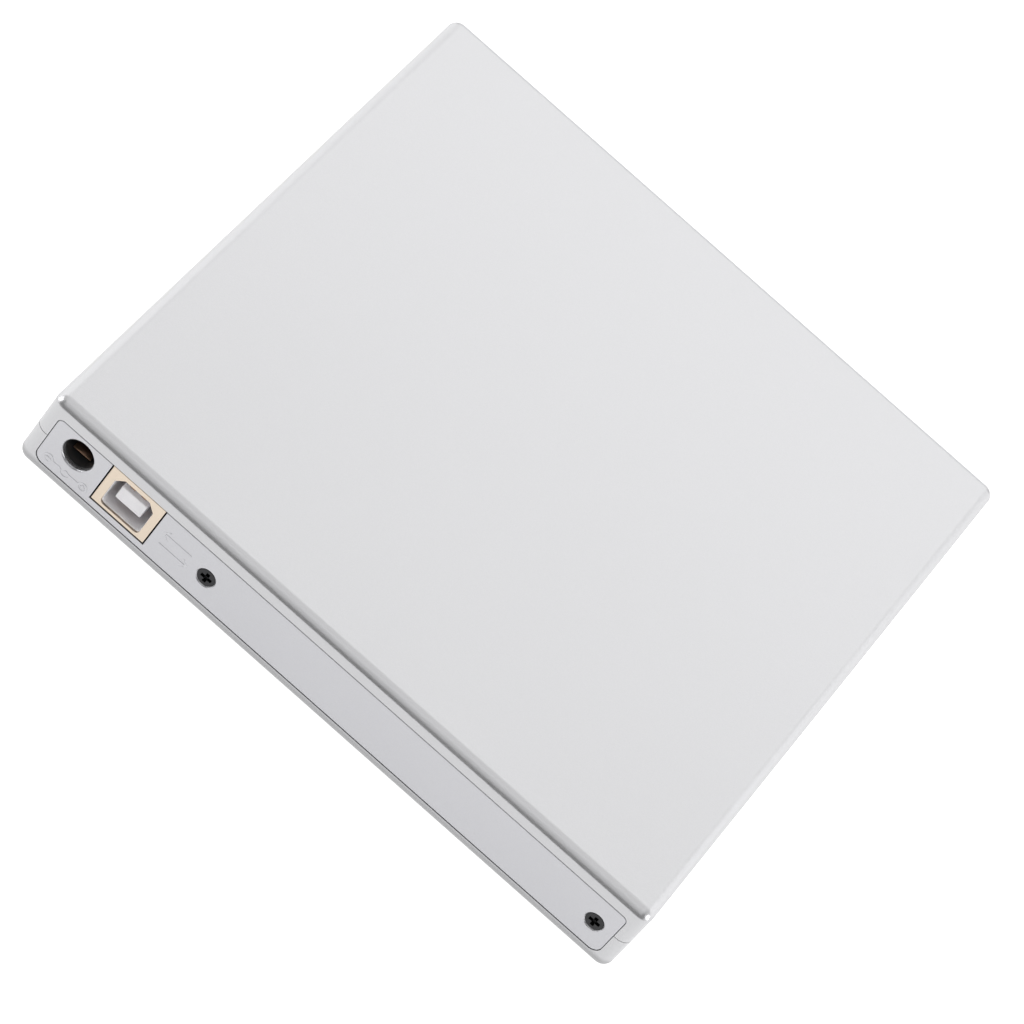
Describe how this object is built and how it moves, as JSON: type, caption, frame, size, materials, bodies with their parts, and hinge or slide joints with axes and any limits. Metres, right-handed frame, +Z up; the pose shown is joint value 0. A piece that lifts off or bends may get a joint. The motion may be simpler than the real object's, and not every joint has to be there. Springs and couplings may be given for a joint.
{
  "type": "external optical drive",
  "caption": "Slim external disc drive: a flat silver case with a pull-out disc tray at the front, a data socket and a power jack in the rear plate.",
  "frame": {"origin": "middle of the plane that the feet rest on", "axes": "+Z up, +Y towards the rear plate with the sockets, -Y the way the tray comes out, +X towards the power jack's end"},
  "size_m": [0.1364, 0.145, 0.0189],
  "materials": {
    "case_silver": "satin silver paint with fine metal flake over moulded plastic",
    "plate_silver": "matt silver paint over moulded plastic",
    "bezel_silver": "satin silver paint over moulded plastic",
    "black_screw": "black oxide steel",
    "foot_rubber": "matt black rubber",
    "zinc_steel": "zinc plated sheet steel",
    "polished_rod": "ground and polished steel",
    "circuit_board": "green solder mask on glass fibre board",
    "black_plastic": "black moulded plastic",
    "tray_plastic": "fine grained dark grey plastic",
    "pale_plastic": "pale acetal and polyester",
    "capacitor_can": "bright aluminium can",
    "socket_metal": "warm nickel plated steel",
    "socket_plastic": "white glass filled plastic",
    "contact_copper": "bare copper alloy",
    "cast_frame": "grey die cast metal",
    "motor_steel": "dark plated steel",
    "light_window": "pale green clear plastic",
    "lens_glass": "coated clear lens"
  },
  "bodies": {
    "enclosure": {"upper_shell": "case_silver", "lower_shell": "case_silver", "rear_plate": "plate_silver", "rear_screw_left": "black_screw", "rear_screw_right": "black_screw", "foot_front_left": "foot_rubber", "foot_rear_left": "foot_rubber", "foot_front_right": "foot_rubber", "foot_rear_right": "foot_rubber", "drive_screw_front_left": "zinc_steel", "drive_screw_rear_left": "zinc_steel", "drive_screw_front_right": "zinc_steel", "drive_screw_rear_right": "zinc_steel", "bridge_board": "circuit_board", "bridge_chip": "black_plastic", "crystal_can": "zinc_steel", "capacitor_front": "capacitor_can", "capacitor_rear": "capacitor_can", "board_connector": "black_plastic", "drive_connector": "black_plastic", "socket_can": "socket_metal", "socket_insulator": "socket_plastic", "socket_contact_upper_left": "contact_copper", "socket_contact_upper_right": "contact_copper", "socket_contact_lower_left": "contact_copper", "socket_contact_lower_right": "contact_copper", "jack_housing": "black_plastic", "jack_pin": "zinc_steel", "jack_spring": "contact_copper", "drive_pan": "zinc_steel", "drive_lid": "zinc_steel", "flat_cable": "pale_plastic", "latch_pin": "zinc_steel", "rail_guide_left": "pale_plastic", "rail_guide_right": "pale_plastic"},
    "tray_unit": {"tray": "tray_plastic", "tray_bezel": "bezel_silver", "light_pipe": "light_window", "front_board": "circuit_board", "eject_switch": "black_plastic", "tray_underplate": "zinc_steel", "drive_board": "circuit_board", "drive_chip": "black_plastic", "traverse_frame": "cast_frame", "guide_rod_left": "polished_rod", "guide_rod_right": "polished_rod", "stepper_motor": "zinc_steel", "spindle_motor": "motor_steel", "latch_solenoid": "zinc_steel"},
    "left_rail": {"slide_rail_left": "zinc_steel"},
    "right_rail": {"slide_rail_right": "zinc_steel"},
    "button": {"eject_button": "bezel_silver"},
    "spindle": {"turntable": "cast_frame", "turntable_pad": "foot_rubber", "centring_hub": "black_plastic"},
    "pickup": {"pickup_sled": "cast_frame"},
    "lens": {"lens_holder": "black_plastic", "objective_lens": "lens_glass"},
    "screw": {"lead_screw": "polished_rod"},
    "latch": {"latch_hook": "pale_plastic"}
  },
  "joints": [
    {"name": "tray_slide", "type": "slide", "parent": "enclosure", "child": "tray_unit", "axis": [0, -1, 0], "range_m": [0, 0.128]},
    {"name": "left_rail_slide", "type": "slide", "parent": "enclosure", "child": "left_rail", "axis": [0, -1, 0], "range_m": [0, 0.064]},
    {"name": "right_rail_slide", "type": "slide", "parent": "enclosure", "child": "right_rail", "axis": [0, -1, 0], "range_m": [0, 0.064]},
    {"name": "eject_button_press", "type": "slide", "parent": "tray_unit", "child": "button", "axis": [0, 1, 0], "range_m": [0, 0.0008], "stiffness_N_per_m": 800},
    {"name": "spindle_spin", "type": "hinge", "parent": "tray_unit", "child": "spindle", "pos_m": [0, -0.0068, 0.0105], "axis": [0, 0, 1], "continuous": true},
    {"name": "pickup_slide", "type": "slide", "parent": "tray_unit", "child": "pickup", "axis": [0, -1, 0], "range_m": [0, 0.032]},
    {"name": "lead_screw_turn", "type": "hinge", "parent": "tray_unit", "child": "screw", "pos_m": [0.0215, -0.043, 0.0084], "axis": [0, 1, 0], "continuous": true},
    {"name": "lens_focus", "type": "slide", "parent": "pickup", "child": "lens", "axis": [0, 0, 1], "range_m": [-0.0003, 0.0003], "stiffness_N_per_m": 60},
    {"name": "latch_turn", "type": "hinge", "parent": "tray_unit", "child": "latch", "pos_m": [-0.038, 0.034, 0.0078], "axis": [0, 0, 1], "range_deg": [0, 12]}
  ],
  "couplings": [
    {"joint": "left_rail_slide", "follows": "tray_slide", "ratio": 0.5},
    {"joint": "right_rail_slide", "follows": "tray_slide", "ratio": 0.5},
    {"joint": "lead_screw_turn", "follows": "pickup_slide", "rad_per_m": 2094.4}
  ]
}
